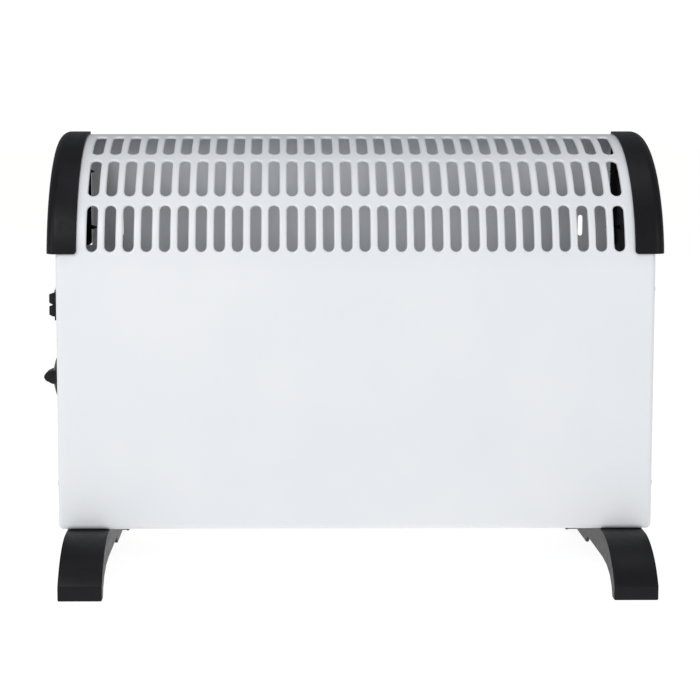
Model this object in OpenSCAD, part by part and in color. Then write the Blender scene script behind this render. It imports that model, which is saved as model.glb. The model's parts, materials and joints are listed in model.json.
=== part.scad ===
// Fan convector heater: a thin steel casing whose front rolls back into a slotted quarter-round
// grille, plastic end caps with finger grips, two arched feet, rocker switches and a thermostat
// knob on the left side, and inside it a mica heating element with a small shaded-pole fan.
// Millimetres. X runs across the heater, +Y to the back and +Z up. The origin is on the floor,
// under the middle of the casing.

/* [Casing] */
// Width of the painted casing between its side faces
casing_w = 508; // [420:1:620]
// Depth of the casing, which is also the radius of its quarter-round top
casing_d = 115; // [110:1:140]
// Height of the casing from its bottom edge to its top
casing_h = 337; // [320:1:400]
// Height of the casing's bottom edge above the floor
ground_gap = 44; // [38:1:60]
// Thickness of the casing's steel sheet
sheet_t = 0.8; // [0.6:0.1:1]
// Outside radius of the pressed edges
edge_r = 4.5; // [3:0.5:6]
// Depth of the front panel's returns along its sides and bottom
return_d = 12; // [10:1:20]
// Gap left between parts that slip into each other
fit_gap = 0.1; // [0.1:0.05:0.3]

/* [Grille] */
// Distance between neighbouring slots
slot_pitch = 15.4; // [12:0.1:24]
// Width of a slot
slot_w = 9.2; // [5:0.1:11]
// Length of a slot
slot_l = 41.1; // [30:0.1:60]
// Sheet left between two rows of slots
row_gap = 9.1; // [6:0.1:16]
// Plain sheet between the start of the curve and the first row
grille_start = 16.7; // [10:0.1:40]
// Plain sheet that stays at the top of the curve
grille_end = 13; // [8:1:30]

/* [End caps] */
// Distance that a cap reaches in from the side of the casing
cap_inset = 18; // [10:1:24]
// Distance that a cap stands out from the side of the casing
cap_stand = 8; // [7:0.5:16]
// Height of a cap from its bottom edge to the top of the casing
cap_drop = 100.5; // [90:0.5:110]
// Wall of the moulded caps
cap_t = 2.4; // [2:0.1:3.2]
// Radius of the cap's rounded outer edge
cap_edge_r = 9; // [4:0.5:11]
// Radius of the cap's lower inner corner
cap_corner_r = 3; // [1:0.5:5]
// Length of the finger grip
grip_l = 64; // [50:1:76]
// Height of the finger grip
grip_h = 22; // [18:1:26]
// Depth of the finger grip
grip_d = 14; // [8:1:16]

/* [Feet] */
// Width of a foot
foot_w = 36.5; // [30:0.1:60]
// Distance from the side of the casing to a foot
foot_inset = 7.3; // [2:0.1:30]
// Distance that the toes reach out in front of and behind the casing
toe_reach = 63; // [40:1:90]
// Height of the upright end of a toe
toe_h = 12; // [8:1:16]
// Length of a toe's floor contact
toe_l = 9; // [6:1:30]
// Wall of the moulded feet
foot_t = 3; // [2.5:0.1:4]
// Distance that a foot's flat top runs on past the casing, before the toe's curve starts
toe_flat = 8; // [2:1:20]
// Distance between the two screws of a foot
foot_screw_pitch = 70; // [50:1:90]

/* [Controls] */
// Distance from the casing's front to the middle of the controls
control_inset = 32; // [26:1:60]
// Distance from the casing's top down to the middle of the switches
switch_drop = 145.5; // [125:0.5:170]
// Distance from the casing's top down to the middle of the knob
knob_drop = 208; // [190:1:230]
// Diameter of the knob's skirt
knob_dia = 38; // [30:1:44]
// Height of the knob's grip above the side panel
knob_h = 14.6; // [12:0.1:20]
// Radius of the thermostat's shaft
shaft_r = 3; // [2.5:0.1:4]
// Length of one rocker, from tip to tip
rocker_l = 19; // [16:1:24]
// Width of one rocker
rocker_w = 10.1; // [8:0.1:14]
// Angle that a rocker leans to each side
rocker_tilt = 10; // [6:1:12]
// Radius of the rockers' pivot pin
pin_r = 1; // [0.8:0.1:1.5]

/* [Fan] */
// Diameter of the impeller
impeller_dia = 88; // [70:1:96]
// Height of the impeller
impeller_h = 16; // [10:1:20]
// Number of blades
blade_count = 6; // [4:1:9]
// Radius of the fan shaft
fan_shaft_r = 2; // [1.5:0.1:3]
// Running clearance round a shaft
running_gap = 0.05; // [0.02:0.01:0.1]
// Thickness of the motor's lamination stack
stack_h = 16; // [12:1:20]
// Radius of the motor's rotor
rotor_r = 12.6; // [10:0.1:14]

/* [Heating element] */
// Height of the mica boards
board_h = 45; // [30:1:60]
// Thickness of the mica boards
board_t = 0.8; // [0.6:0.1:1.2]
// Distance between the two boards
board_spacing = 32; // [24:1:44]
// Height of the boards' lower edge above the casing's bottom edge
board_lift = 106; // [100:1:140]
// Clear width between the side of the casing and an element bracket
element_margin = 50; // [44:1:80]
// Radius of the heating wire
heat_wire_r = 0.4; // [0.3:0.05:0.6]
// Turns of wire on the low-power board
low_turns = 48; // [20:1:60]
// Turns of wire on the high-power board
high_turns = 64; // [20:1:80]

/* [Supply] */
// Radius of the hole that the mains lead passes through
cord_hole_r = 3.6; // [2.8:0.1:4.5]
// Distance from the side of the casing to the mains lead
cord_inset = 69; // [60:1:100]

/* [Hidden] */
$fn = 96;
front_y = -casing_d / 2;
back_y = casing_d / 2;
top_z = ground_gap + casing_h;
arc_r = casing_d;
arc_z = top_z - arc_r;
half_w = casing_w / 2;
side_x = half_w - sheet_t - fit_gap;    // outer face of a side panel
side_in_x = side_x - sheet_t;           // inner face of a side panel
over = 1;                               // how far a cutter runs past what it cuts

cap_in_x = half_w - cap_inset;
cap_out_x = half_w + cap_stand;
cap_r = arc_r + fit_gap + cap_t;
cap_z = top_z - cap_drop;
liner_t = 2.5;
liner_inset = 5.4;                      // how far the liner stands back from the cap's inner edge
liner_x = cap_in_x + liner_inset;
liner_drop = 29;                        // how far the liner reaches below the cap
side_overlap = 8;                       // how far a side panel reaches up into the cap
grip_y = 14;
grip_z = cap_z + 37;
cap_screws_yz = [[37.5, cap_z + 17.2], [22.5, cap_z + 67.6]];
cap_screw_r = 1.8;
cap_screw_tip = 12.4;                   // how far the screw's tip stands out of the liner
cap_boss_r = 5;
cap_sink_r = 4.2;
cap_sink_d = 2.6;

slot_count = floor((2 * cap_in_x - slot_w) / slot_pitch);
row_count = floor((arc_r * PI / 2 - grille_start - grille_end + row_gap) / (slot_l + row_gap));

hook_x = half_w - 44.6;
hook_w = 4.2;
hook_l = 18.8;
hook_z = top_z - 83;

screw_r = 1.5;
hole_play = 0.1;                        // how much wider than its screw a hole is
screw_head_r = 3.3;
screw_head_h = 2;
sunk_r = 2.6;                           // countersunk head of the screws through the casing's sides
sunk_h = 1.3;
sunk_lift = 0.15;                       // how far its face stands out of the sheet

plate_z = ground_gap + sheet_t;         // underside of the bottom plate
floor_z = plate_z + sheet_t;            // its upper side, which the inner parts stand on
inlet_pitch = 12;
inlet_w = 5;
inlet_l = 34;

foot_x = half_w - foot_inset - foot_w / 2;
foot_reach = casing_d / 2 + toe_reach;
foot_top = ground_gap;                  // flat top, which the casing rests on
toe_run = toe_reach - toe_flat;
toe_rise = foot_top - toe_h;
toe_curve_r = (toe_run * toe_run + toe_rise * toe_rise) / (2 * toe_rise);
foot_arch = 22;                         // height of the arch in the foot's front half
foot_rear_arch = 15.5;                  // and in its rear half
rear_toe_l = 5;                         // length of the rear toe along the floor
foot_screw_r = 1.75;
foot_boss_r = 5.5;

control_y = front_y + control_inset;
switch_z = top_z - switch_drop;
knob_z = top_z - knob_drop;
pivot_h = 2.5;                          // height of the rockers' pivot above the side panel
rocker_gap = 0.2;
rocker_end_h = 5.6;                     // height of a rocker's end above its pivot
rocker_r = norm([rocker_l / 2, rocker_end_h]);
window_play = 0.4;
bezel_rim = 2.4;
bezel_h = 4.2;
window_y = rocker_r + window_play;      // half length of the switch's window
window_x = rocker_w + rocker_gap;       // half height of the window, which holds two rockers
switch_wall = 1.2;
switch_half_x = window_x + switch_wall; // half sizes of the housing behind the side panel
switch_half_y = window_y + switch_wall;
switch_depth = 20;

knob_lift = sheet_t + fit_gap + 0.4;    // lets the knob turn clear of the front panel's returns
bush_r = 4.5;
nut_h = 2.4;
thermostat_back = 19;

fan_z = floor_z + 14.4;                 // underside of the impeller
shroud_r = impeller_dia / 2 + 2.5;
shroud_t = 1.2;
shroud_top = fan_z + impeller_h + 2;
shroud_half = shroud_r + 8;
strap_z = shroud_top + 16;
strap_t = 1.2;
strap_w = 20;
bridge_h = 6;
stack_z = strap_z + strap_t + bridge_h;
air_gap = 0.4;
hub_r = 6;
motor_screw_x = 9;
motor_screw_y = 18;
motor_screw_r = 1.6;
stack_back = 24;                        // reach of the lamination stack away from the coil
stack_half = 23;
window_from = 17;                       // the opening that one side of the coil passes through
window_half = 13;
leg_from = 28;                          // the leg that carries the coil
leg_to = 36;
leg_x = (leg_from + leg_to) / 2;
leg_w = leg_to - leg_from;
bobbin_t = 1;
bobbin_half = window_half - 1;
bobbin_play = 0.15;
coil_build = 8.5;                       // thickness of the winding round the leg

board_z = ground_gap + board_lift;
element_x = half_w - element_margin;    // inner face of an element bracket
bracket_t = 1;
bracket_half = 40;
tab_h = 30;
tab_play = 0.2;
shield_y = -bracket_half - bracket_t;
shield_t = 0.6;

cord_x = -(half_w - cord_inset);
cord_y = back_y - 19.5;
gland_r = 6.9;
gland_lip_r = 9;
block_x = -(half_w - 112);
block_l = 34;
block_w = 18;
block_h = 14;
block_pitch = 11;
wire_r = 1.3;
wire_gap = 0.4;                         // between the end of a wire and what it is fixed to
term_x = -side_x + switch_depth + 8 + wire_gap;
port_z = floor_z + 5;
front_port = -block_w / 2 - wire_gap;

// ---------------------------------------------------------------- shared shapes

// A block in the (radius, across) plane whose two outer corners are rounded.
module face_block(r_in, r_out, half, corner) {
    translate([r_in, -half]) square([r_out - r_in - corner, 2 * half]);
    translate([r_in, corner - half]) square([r_out - r_in, 2 * (half - corner)]);
    for (s = [-1, 1]) translate([r_out - corner, s * (half - corner)]) circle(corner);
}

// Sweeps a (radius, across) section round the quarter circle of the top.
module over_top() {
    translate([0, back_y, arc_z]) rotate([90, 0, -90]) rotate_extrude(angle = 90) children();
}

// Carries the same section straight down the front, from the curve to z = low.
module down_front(low) {
    translate([0, back_y, low]) mirror([1, 0, 0]) rotate([0, 0, -90])
        linear_extrude(arc_z - low) children();
}

// A slot with round ends along Y, centred, of total length l.
module slot_2d(l, w) {
    square([w, l - w], center = true);
    for (s = [-1, 1]) translate([0, s * (l - w) / 2]) circle(w / 2);
}

// A centred box that stands on z = 0.
module slab(x, y, z) {
    translate([-x / 2, -y / 2, 0]) cube([x, y, z]);
}

// Puts a part on the left side panel: local z points out of the heater, x up and y back.
module on_left(y, z) {
    translate([-side_x, y, z]) rotate([0, -90, 0]) children();
}

// Draws a part and its mirror image across the heater.
module both_sides() {
    children();
    mirror([1, 0, 0]) children();
}

// A self-tapping pan-head screw along Z, with its head above z = 0 and a cross recess.
module screw(l, r, head_r, head_h) {
    tip = 2 * r;
    difference() {
        cylinder(h = head_h, r = head_r);
        for (a = [0, 90]) rotate(a)
            translate([-head_r * 0.6, -0.5, head_h / 2]) cube([head_r * 1.2, 1, head_h]);
    }
    translate([0, 0, tip - l]) cylinder(h = l - tip, r = r);
    translate([0, 0, -l]) cylinder(h = tip, r1 = r / 4, r2 = r);
}

// A round tube of 8 sides swept along points; used for wires that run inside the casing.
function unit(v) = v / norm(v);
function tangent(p, i) = unit(p[min(i + 1, len(p) - 1)] - p[max(i - 1, 0)]);
function side_of(t) = unit(cross(t, abs(t[2]) < 0.8 ? [0, 0, 1] : [0, 1, 0]));
function ring(c, t, r, n) = [
    for (k = [0:n - 1]) c + r * (cos(360 * k / n) * side_of(t) + sin(360 * k / n) * cross(t, side_of(t)))
];
function smooth(p, n) = [
    for (i = [0:len(p) - 2]) for (k = [0:n - 1]) bend(p, i, k / n),
    p[len(p) - 1]
];
function bend(p, i, t) =
    let (a = p[max(i - 1, 0)], b = p[i], c = p[i + 1], d = p[min(i + 2, len(p) - 1)])
    0.5 * (2 * b + (c - a) * t + (2 * a - 5 * b + 4 * c - d) * t * t + (3 * b - a - 3 * c + d) * t * t * t);

module tube(points, r, sides = 8) {
    last = len(points) - 1;
    verts = [for (i = [0:last]) each ring(points[i], tangent(points, i), r, sides)];
    walls = [
        for (i = [0:last - 1]) for (k = [0:sides - 1])
            let (m = (k + 1) % sides) each [
                [i * sides + k, i * sides + m, (i + 1) * sides + m],
                [i * sides + k, (i + 1) * sides + m, (i + 1) * sides + k]
            ]
    ];
    start = [for (k = [sides - 1:-1:0]) k];
    end = [for (k = [0:sides - 1]) last * sides + k];
    polyhedron(verts, faces = concat([start], walls, [end]));
}

// ---------------------------------------------------------------- casing

module return_section() {
    difference() {
        face_block(arc_r - return_d, arc_r, half_w, edge_r);
        face_block(arc_r - return_d - over, arc_r - sheet_t, half_w - sheet_t, edge_r - sheet_t);
    }
}

// Quarter ring of bent sheet, centred on the bend, in the first quadrant.
module bend_2d() {
    difference() {
        circle(edge_r);
        circle(edge_r - sheet_t);
        translate([-2 * edge_r, -2 * edge_r]) square([2 * edge_r, 4 * edge_r]);
        translate([-2 * edge_r, -2 * edge_r]) square([4 * edge_r, 2 * edge_r]);
    }
}

// The bottom edge of the front panel: bend, return and the two rounded corners.
module bottom_return() {
    bend_y = front_y + edge_r;
    bend_z = ground_gap + edge_r;
    bend_x = half_w - edge_r;
    translate([-bend_x, bend_y, bend_z]) rotate([90, 0, 90])
        linear_extrude(2 * bend_x) rotate(180) bend_2d();
    translate([-bend_x, bend_y, ground_gap]) cube([2 * bend_x, return_d - edge_r, sheet_t]);
    both_sides() {
        translate([bend_x, bend_y, bend_z]) rotate([-90, 0, 0])
            linear_extrude(return_d - edge_r) bend_2d();
        translate([bend_x, bend_y, bend_z]) rotate([180, 0, 0])
            rotate_extrude(angle = 90) bend_2d();
    }
}

module grille_slots() {
    for (row = [0:row_count - 1]) {
        s = grille_start + slot_l / 2 + row * (slot_l + row_gap);
        translate([0, back_y, arc_z]) rotate([90 - s * 180 / (PI * arc_r), 0, 0])
            translate([0, 0, arc_r - 4]) linear_extrude(8)
                for (i = [0:slot_count - 1])
                    translate([(i - (slot_count - 1) / 2) * slot_pitch, 0]) slot_2d(slot_l, slot_w);
    }
}

// Room for the rear wall of each end cap, at the top rear corners.
module cap_notches() {
    both_sides() translate([cap_in_x - fit_gap, back_y - cap_t - fit_gap, top_z - return_d - over])
        cube([cap_inset + over, cap_t + over, return_d + 2 * over]);
}

module front_panel() {
    color("whitesmoke") difference() {
        union() {
            over_top() return_section();
            down_front(ground_gap + edge_r) return_section();
            bottom_return();
        }
        grille_slots();
        cap_notches();
        panel_screw_places(return_d / 2 + front_y) sunk_hole();
        cap_screw_holes(cap_screw_r + hole_play);
    }
}

// The screws that hold the front panel's returns to the side panels.
module panel_screw_places(y) {
    for (z = [ground_gap + 40, cap_z - 30]) both_sides()
        translate([half_w, y, z]) rotate([0, 90, 0]) children();
}

// A countersunk self-tapping screw along Z, whose face stands just proud of z = 0.
module sunk_screw(l) {
    tip = 2 * screw_r;
    difference() {
        union() {
            cylinder(h = sunk_lift, r = sunk_r);
            translate([0, 0, -sunk_h]) cylinder(h = sunk_h, r1 = screw_r, r2 = sunk_r);
        }
        for (a = [0, 90]) rotate(a)
            translate([-sunk_r * 0.6, -0.4, -sunk_h / 2]) cube([sunk_r * 1.2, 0.8, sunk_h]);
    }
    translate([0, 0, tip - l]) cylinder(h = l - tip - sunk_h, r = screw_r);
    translate([0, 0, -l]) cylinder(h = tip, r1 = screw_r / 4, r2 = screw_r);
}

module sunk_hole() {
    flare = (sunk_r - screw_r) / sunk_h;
    screw_hole(screw_r + hole_play);
    translate([0, 0, -sunk_h])
        cylinder(h = sunk_h + over, r1 = screw_r + hole_play, r2 = sunk_r + hole_play + over * flare);
}

module screw_hole(r) {
    translate([0, 0, -10]) cylinder(h = 20, r = r);
}

module cap_screw_holes(r) {
    both_sides() for (p = cap_screws_yz)
        translate([cap_in_x - over, p[0], p[1]]) rotate([0, 90, 0])
            cylinder(h = cap_inset + over + cap_stand, r = r);
}

module hook_slot() {
    translate([0, back_y + over, hook_z]) rotate([90, 0, 0])
        linear_extrude(sheet_t + 2 * over) slot_2d(hook_l, hook_w);
}

// The screws that hold the back panel: two down each side.
module back_screw_places() {
    for (z = [ground_gap + 30, cap_z - 24]) both_sides()
        translate([side_in_x - 6, back_y, z]) rotate([-90, 0, 0]) children();
}

module back_panel() {
    rear_top = top_z - sheet_t - fit_gap;
    color("gainsboro") difference() {
        union() {
            translate([-half_w, back_y - sheet_t, ground_gap])
                cube([casing_w, sheet_t, cap_z - fit_gap - ground_gap]);
            translate([fit_gap - cap_in_x, back_y - sheet_t, cap_z - 2 * over])
                cube([2 * (cap_in_x - fit_gap), sheet_t, rear_top - cap_z + 2 * over]);
            translate([fit_gap - cap_in_x, back_y - 10, rear_top - 2 * sheet_t])
                cube([2 * (cap_in_x - fit_gap), 10, sheet_t]);
        }
        for (x = [-hook_x, hook_x]) translate([x, 0, 0]) hook_slot();
        for (i = [-9:9]) translate([i * 2 * inlet_pitch, back_y + over, ground_gap + 46]) rotate([90, 0, 0])
            linear_extrude(sheet_t + 2 * over) slot_2d(inlet_l, inlet_w);
        back_screw_places() screw_hole(screw_r + hole_play);
    }
}

module bottom_plate() {
    tongue_x = half_w - edge_r - 1;
    main_y = front_y + return_d + fit_gap;
    rear_y = back_y - sheet_t - fit_gap;
    inlet_x = foot_x - foot_w / 2 - 14;
    color("gainsboro") difference() {
        union() {
            translate([-tongue_x, front_y + edge_r, plate_z]) cube([2 * tongue_x, return_d, sheet_t]);
            translate([-side_in_x + fit_gap, main_y, plate_z])
                cube([2 * (side_in_x - fit_gap), rear_y - main_y, sheet_t]);
            both_sides() translate([side_in_x - fit_gap - sheet_t, main_y, plate_z])
                cube([sheet_t, rear_y - main_y - 2, 12]);
        }
        for (row = [-1, 1]) for (i = [-floor(inlet_x / inlet_pitch):floor(inlet_x / inlet_pitch)])
            if (abs(i * inlet_pitch) < abs(cord_x) - gland_lip_r - inlet_pitch || row < 0)
                translate([i * inlet_pitch, row * 22, plate_z - over])
                    linear_extrude(sheet_t + 2 * over) slot_2d(inlet_l, inlet_w);
        foot_screw_places() translate([0, 0, -10]) cylinder(h = 60, r = foot_screw_r + hole_play);
        translate([cord_x, cord_y, plate_z - over]) cylinder(h = sheet_t + 2 * over, r = gland_r + fit_gap);
    }
}

// Outline of a side panel in (Y, Z): under the returns at the front, and up into the cap.
module side_outline() {
    skin = sheet_t + fit_gap;
    low_front = [front_y + edge_r, ground_gap + edge_r];
    side_top = cap_z + side_overlap;
    intersection() {
        union() {
            translate(low_front) square([return_d, side_top - low_front[1]]);
            translate([front_y + return_d + fit_gap, ground_gap])
                square([casing_d - return_d - skin - fit_gap, cap_z - ground_gap - 1]);
            translate([front_y + return_d, ground_gap + edge_r])
                square([casing_d - return_d - cap_t - 2 * fit_gap, side_top - ground_gap - edge_r]);
        }
        union() {
            translate([back_y, arc_z]) circle(arc_r - edge_r);
            translate([front_y + edge_r, 0]) square([casing_d, arc_z]);
        }
    }
}

module side_panel() {
    flange_z = cap_z - 1 - ground_gap - edge_r;
    translate([side_in_x, 0, 0]) rotate([90, 0, 90]) linear_extrude(sheet_t) side_outline();
    translate([side_in_x - 12, back_y - 2 * sheet_t - fit_gap, ground_gap + 16])
        cube([12, sheet_t, cap_z - ground_gap - 18]);
}

module side_screw_holes() {
    panel_screw_places(return_d / 2 + front_y) sunk_hole();
    back_screw_places() screw_hole(screw_r + hole_play);
}

module left_side_panel() {
    color("whitesmoke") difference() {
        mirror([1, 0, 0]) side_panel();
        side_screw_holes();
        on_left(control_y, switch_z) translate([0, 0, -sheet_t - over])
            slab(2 * (switch_half_x + fit_gap), 2 * (switch_half_y + fit_gap), sheet_t + 2 * over);
        on_left(control_y, knob_z) translate([0, 0, -sheet_t - over])
            cylinder(h = sheet_t + 2 * over, r = bush_r + hole_play);
    }
}

module right_side_panel() {
    color("whitesmoke") difference() {
        side_panel();
        side_screw_holes();
    }
}

// ---------------------------------------------------------------- end caps

module cap_solid() {
    intersection() {
        union() {
            over_top() face_block(0, cap_r, cap_out_x, cap_edge_r);
            down_front(min(cap_z, arc_z - 1)) face_block(0, cap_r, cap_out_x, cap_edge_r);
        }
        translate([cap_in_x, 2 * casing_d, cap_z]) rotate([90, 0, 0])
            linear_extrude(4 * casing_d) cap_front_2d();
    }
}

// Front view of a cap: square all round except for its rounded lower inner corner.
module cap_front_2d() {
    translate([cap_corner_r, 0]) square([2 * cap_inset + cap_stand, 2 * cap_drop]);
    translate([0, cap_corner_r]) square([2 * cap_inset + cap_stand, 2 * cap_drop]);
    translate([cap_corner_r, cap_corner_r]) circle(cap_corner_r);
}

module cap_void() {
    intersection() {
        union() {
            over_top() face_block(0, cap_r - cap_t, cap_out_x - cap_t, cap_edge_r - cap_t);
            down_front(min(cap_z, arc_z - 1))
                face_block(0, cap_r - cap_t, cap_out_x - cap_t, cap_edge_r - cap_t);
        }
        translate([cap_in_x - over, -casing_d - cap_t, cap_z + cap_t])
            cube([2 * cap_inset + cap_stand, back_y + casing_d, 2 * cap_drop]);
    }
}

module grip_prism(margin, from_x, to_x) {
    translate([from_x, grip_y, grip_z]) rotate([90, 0, 90])
        linear_extrude(to_x - from_x) rotate(90) slot_2d(grip_l + 2 * margin, grip_h + 2 * margin);
}

module end_cap() {
    difference() {
        union() {
            difference() {
                cap_solid();
                cap_void();
                cap_floor_cut();
            }
            grip_prism(cap_t, cap_out_x - grip_d - cap_t, cap_out_x - cap_t / 2);
            for (p = cap_screws_yz) translate([liner_x + liner_t + fit_gap, p[0], p[1]]) rotate([0, 90, 0])
                cylinder(h = cap_out_x - liner_x - liner_t - fit_gap - cap_t / 2, r = cap_boss_r);
        }
        grip_prism(0, cap_out_x - grip_d, cap_out_x + over);
        for (p = cap_screws_yz) translate([cap_out_x, p[0], p[1]]) rotate([0, -90, 0]) {
            translate([0, 0, -over]) cylinder(h = cap_sink_d + over, r = cap_sink_r);
            cylinder(h = 2 * cap_inset + cap_stand, r = cap_screw_r + hole_play);
        }
    }
}

// Opens the cap's floor where the casing's sheet passes through it.
module cap_floor_cut() {
    cut_r = arc_r + 0.8 * fit_gap;
    intersection() {
        translate([0, -casing_d - cap_t, cap_z - over])
            cube([half_w + fit_gap, back_y + casing_d, cap_t + 2 * over]);
        union() {
            translate([0, back_y, arc_z]) rotate([0, 90, 0]) cylinder(h = casing_w, r = cut_r);
            translate([0, back_y - cut_r, arc_z - 2 * cap_drop]) cube([casing_w, casing_d + cap_t, 2 * cap_drop]);
        }
    }
}

module left_end_cap() { color([0.13, 0.13, 0.14]) mirror([1, 0, 0]) end_cap(); }
module right_end_cap() { color([0.13, 0.13, 0.14]) end_cap(); }

// The inner wall of a cap, which closes the end of the grille.
module cap_liner() {
    liner_gap = sheet_t + 0.3;
    low = cap_z - liner_drop;
    liner_h = top_z - 2 * sheet_t - fit_gap - 2 - low;
    difference() {
        translate([liner_x, 0, 0]) rotate([90, 0, 90]) linear_extrude(liner_t) intersection() {
            translate([front_y + liner_gap, low])
                square([casing_d - liner_gap - cap_t - 2 * fit_gap, liner_h]);
            union() {
                translate([back_y, arc_z]) circle(arc_r - liner_gap);
                translate([front_y, arc_z - 2 * arc_r]) square([casing_d, 2 * arc_r]);
            }
        }
        cap_screw_holes(cap_screw_r + hole_play);
    }
}

module left_cap_liner() { color([0.1, 0.1, 0.1]) mirror([1, 0, 0]) cap_liner(); }
module right_cap_liner() { color([0.1, 0.1, 0.1]) cap_liner(); }

module cap_screws() {
    l = cap_out_x - cap_sink_d - liner_x + cap_screw_tip;
    color("dimgray") both_sides() for (p = cap_screws_yz)
        translate([cap_out_x - cap_sink_d, p[0], p[1]]) rotate([0, 90, 0]) screw(l, cap_screw_r, 3.6, 2.2);
}

module casing_screws() {
    color("silver") {
        panel_screw_places(return_d / 2 + front_y) sunk_screw(8);
        back_screw_places() screw(8, screw_r, screw_head_r, screw_head_h);
    }
}

// ---------------------------------------------------------------- feet

// The arch under the foot. The rear half stays lower than the front half.
function arch() = [
    [foot_reach - rear_toe_l, -over], [foot_reach - rear_toe_l, 0], [foot_reach - toe_l - 6, 7],
    [foot_reach - toe_l - 20, foot_rear_arch], [9, foot_rear_arch], [2, foot_arch],
    [toe_l + 46 - foot_reach, foot_arch], [toe_l + 26 - foot_reach, foot_arch - 2],
    [toe_l + 12 - foot_reach, foot_arch - 7], [toe_l + 4 - foot_reach, foot_arch - 14],
    [toe_l - foot_reach, 0], [toe_l - foot_reach, -over]
];

// Side view of a foot, made smaller all round by inset: flat on top, with an arc down to each toe.
module foot_envelope(inset) {
    intersection() {
        translate([inset - foot_reach, -over]) square([2 * (foot_reach - inset), foot_top - inset + over]);
        union() {
            translate([-casing_d / 2 - toe_flat, -over]) square([casing_d + 2 * toe_flat, foot_top + over]);
            for (s = [-1, 1]) translate([s * (casing_d / 2 + toe_flat), foot_top - toe_curve_r])
                circle(toe_curve_r - inset);
        }
    }
}

module foot_outline() {
    difference() {
        foot_envelope(0);
        polygon(arch());
        translate([-2 * foot_reach, -4 * over]) square([4 * foot_reach, 4 * over]);
    }
}

module along_x(w) {
    translate([foot_x - w / 2, 0, 0]) rotate([90, 0, 90]) linear_extrude(w) children();
}

module foot_screw_places() {
    for (s = [-1, 1]) both_sides() translate([foot_x, s * foot_screw_pitch / 2, 0]) children();
}

module foot() {
    rib_t = 2;
    pad_w = foot_w - 2 * foot_t;
    step_y = front_y + return_d + 2 * fit_gap;
    boss_z = foot_arch + 5;
    difference() {
        union() {
            difference() {
                along_x(foot_w) foot_outline();
                along_x(foot_w - 2 * foot_t) foot_envelope(foot_t);
            }
            intersection() {
                along_x(foot_w - foot_t) foot_outline();
                for (y = [-1.45, -0.95, 0, 0.95, 1.45]) translate([foot_x, y * casing_d / 2, 0])
                    slab(foot_w, rib_t, foot_top);
            }
            translate([foot_x - pad_w / 2, step_y, foot_top - over])
                cube([pad_w, back_y - 3 - step_y, sheet_t + over]);
            for (s = [-1, 1]) translate([foot_x, s * foot_screw_pitch / 2, boss_z])
                cylinder(h = foot_top - boss_z, r = foot_boss_r);
        }
        for (s = [-1, 1]) translate([foot_x, s * foot_screw_pitch / 2, -over])
            cylinder(h = ground_gap + 3, r = foot_screw_r + hole_play);
    }
}

module left_foot() { color([0.14, 0.14, 0.15]) mirror([1, 0, 0]) foot(); }
module right_foot() { color([0.14, 0.14, 0.15]) foot(); }

module foot_screws() {
    head_z = foot_arch + 5;
    color("silver") foot_screw_places() translate([0, 0, head_z]) mirror([0, 0, 1])
        screw(ground_gap - head_z + 8, foot_screw_r, 4, 2.6);
}

// ---------------------------------------------------------------- switches

module switch_housing() {
    color([0.12, 0.12, 0.13]) on_left(control_y, switch_z) difference() {
        union() {
            slab(2 * (window_x + bezel_rim + 0.5), 2 * (window_y + bezel_rim), bezel_h);
            translate([0, 0, -switch_depth]) slab(2 * switch_half_x, 2 * switch_half_y, switch_depth + 1);
        }
        translate([0, 0, pivot_h - rocker_r - 0.5])
            slab(2 * window_x, 2 * window_y, rocker_r + bezel_h + over);
        translate([-window_x - 2, 0, pivot_h]) rotate([0, 90, 0])
            cylinder(h = 2 * window_x + 4, r = pin_r + 0.01);
    }
}

module rocker_pivot_pin() {
    color("silver") on_left(control_y, switch_z)
        translate([-window_x - 1.9, 0, pivot_h]) rotate([0, 90, 0])
            cylinder(h = 2 * window_x + 3.8, r = pin_r);
}

// Side view of a rocker about its pivot: two flats that meet in a shallow valley.
module rocker_profile() {
    valley = rocker_end_h - 1.6;
    intersection() {
        circle(rocker_r);
        polygon([
            [-rocker_l / 2, rocker_end_h], [0, valley], [rocker_l / 2, rocker_end_h],
            [rocker_l, rocker_end_h], [rocker_l, -1], [4, -4], [-4, -4], [-rocker_l, -1],
            [-rocker_l, rocker_end_h]
        ]);
    }
}

module rocker_taper() {
    tip = rocker_w / 2 - 1.4;
    shoulder = bezel_h - pivot_h + 0.4;
    polygon([
        [-rocker_w / 2, -6], [rocker_w / 2, -6], [rocker_w / 2, shoulder], [tip, rocker_end_h],
        [-tip, rocker_end_h], [-rocker_w / 2, shoulder]
    ]);
}

module rocker(side) {
    on_left(control_y, switch_z) translate([side * (rocker_w + rocker_gap) / 2, 0, pivot_h])
        rotate([-rocker_tilt, 0, 0]) difference() {
            intersection() {
                rotate([90, 0, 90]) translate([0, 0, -rocker_w / 2])
                    linear_extrude(rocker_w) rocker_profile();
                rotate([90, 0, 0]) translate([0, 0, -rocker_r]) linear_extrude(2 * rocker_r) rocker_taper();
            }
            translate([-rocker_w, 0, 0]) rotate([0, 90, 0])
                cylinder(h = 2 * rocker_w, r = pin_r + running_gap);
        }
}

module upper_rocker() { color([0.16, 0.16, 0.18]) rocker(1); }
module lower_rocker() { color([0.16, 0.16, 0.18]) rocker(-1); }

module switch_terminals() {
    color("goldenrod") on_left(control_y, switch_z)
        for (x = [-1, 1]) for (y = [-8, 0, 8])
            translate([x * (rocker_w + rocker_gap) / 2, y, -switch_depth - 8]) slab(4.8, 0.8, 8);
}

// ---------------------------------------------------------------- thermostat

module knob_skirt() {
    dome_r = 47;
    dome_h = knob_h - 7.2;
    intersection() {
        translate([0, 0, knob_lift]) cylinder(h = dome_h, r = knob_dia / 2);
        translate([0, 0, dome_h - dome_r]) sphere(dome_r);
    }
}

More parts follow.
